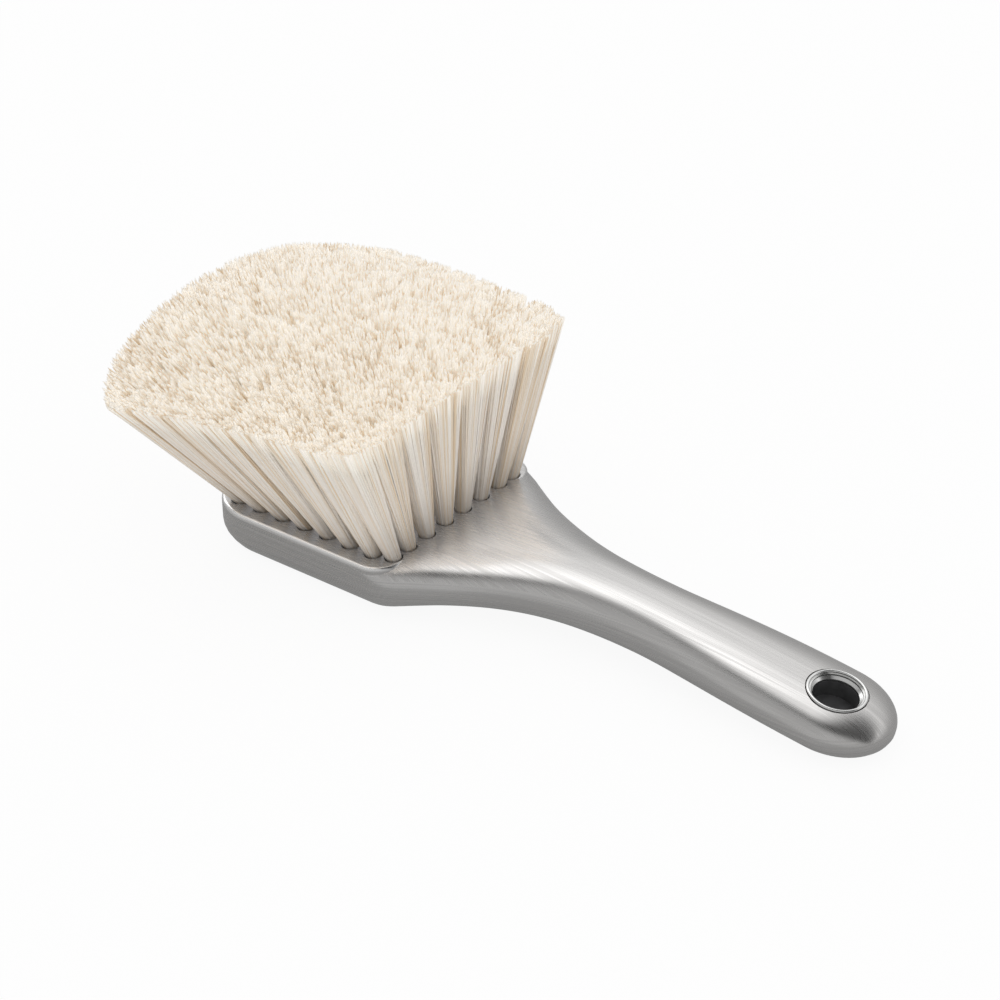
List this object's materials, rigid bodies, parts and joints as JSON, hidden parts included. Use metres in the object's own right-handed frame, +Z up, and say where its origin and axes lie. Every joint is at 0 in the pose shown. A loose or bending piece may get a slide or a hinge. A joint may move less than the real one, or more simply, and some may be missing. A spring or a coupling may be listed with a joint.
{
  "type": "detailing brush",
  "caption": "Short-handled detailing brush: one brushed metal body with a tufted block, flared neck and lined hang socket, and a wide fan of cream bristles.",
  "frame": {"origin": "Middle of the bounding box in plan, on the floor that the brush rests on: the flat back of the block leans 1.9 degrees, so that its heel and the underside of the grip's end both touch the floor.", "axes": "+X runs along the handle to the grip's end, +Z is up, the way the bristles point, and the brush is the same on both sides of the XZ plane."},
  "size_m": [0.2528, 0.1339, 0.0717],
  "materials": {
    "brushed_metal": "satin, brushed along the handle",
    "polished_ring": "polished, with a fine groove and a stepped inner slope",
    "dark_cup": "dark satin",
    "bristle": "cream filament, trimmed and split at the tips"
  },
  "bodies": {
    "root": {"handle_body": "brushed_metal", "hang_socket_ring": "polished_ring", "hang_socket_cup": "dark_cup", "bristle_tuft_row1_1": "bristle", "bristle_tuft_row1_2": "bristle", "bristle_tuft_row1_3": "bristle", "bristle_tuft_row1_4": "bristle", "bristle_tuft_row1_5": "bristle", "bristle_tuft_row1_6": "bristle", "bristle_tuft_row1_7": "bristle", "bristle_tuft_row1_8": "bristle", "bristle_tuft_row2_1": "bristle", "bristle_tuft_row2_2": "bristle", "bristle_tuft_row2_3": "bristle", "bristle_tuft_row2_4": "bristle", "bristle_tuft_row2_5": "bristle", "bristle_tuft_row2_6": "bristle", "bristle_tuft_row3_1": "bristle", "bristle_tuft_row3_2": "bristle", "bristle_tuft_row3_3": "bristle", "bristle_tuft_row3_4": "bristle", "bristle_tuft_row3_5": "bristle", "bristle_tuft_row3_6": "bristle", "bristle_tuft_row3_7": "bristle", "bristle_tuft_row4_1": "bristle", "bristle_tuft_row4_2": "bristle", "bristle_tuft_row4_3": "bristle", "bristle_tuft_row4_4": "bristle", "bristle_tuft_row4_5": "bristle", "bristle_tuft_row4_6": "bristle", "bristle_tuft_row4_7": "bristle", "bristle_tuft_row5_1": "bristle", "bristle_tuft_row5_2": "bristle", "bristle_tuft_row5_3": "bristle", "bristle_tuft_row5_4": "bristle", "bristle_tuft_row5_5": "bristle", "bristle_tuft_row5_6": "bristle", "bristle_tuft_row5_7": "bristle", "bristle_tuft_row6_1": "bristle", "bristle_tuft_row6_2": "bristle", "bristle_tuft_row6_3": "bristle", "bristle_tuft_row6_4": "bristle", "bristle_tuft_row6_5": "bristle", "bristle_tuft_row6_6": "bristle", "bristle_tuft_row6_7": "bristle", "bristle_tuft_row7_1": "bristle", "bristle_tuft_row7_2": "bristle", "bristle_tuft_row7_3": "bristle", "bristle_tuft_row7_4": "bristle", "bristle_tuft_row7_5": "bristle", "bristle_tuft_row7_6": "bristle", "bristle_tuft_row8_1": "bristle", "bristle_tuft_row8_2": "bristle", "bristle_tuft_row8_3": "bristle", "bristle_tuft_row8_4": "bristle", "bristle_tuft_row8_5": "bristle", "bristle_tuft_row8_6": "bristle", "bristle_tuft_row8_7": "bristle", "bristle_tuft_row8_8": "bristle"}
  },
  "joints": []
}
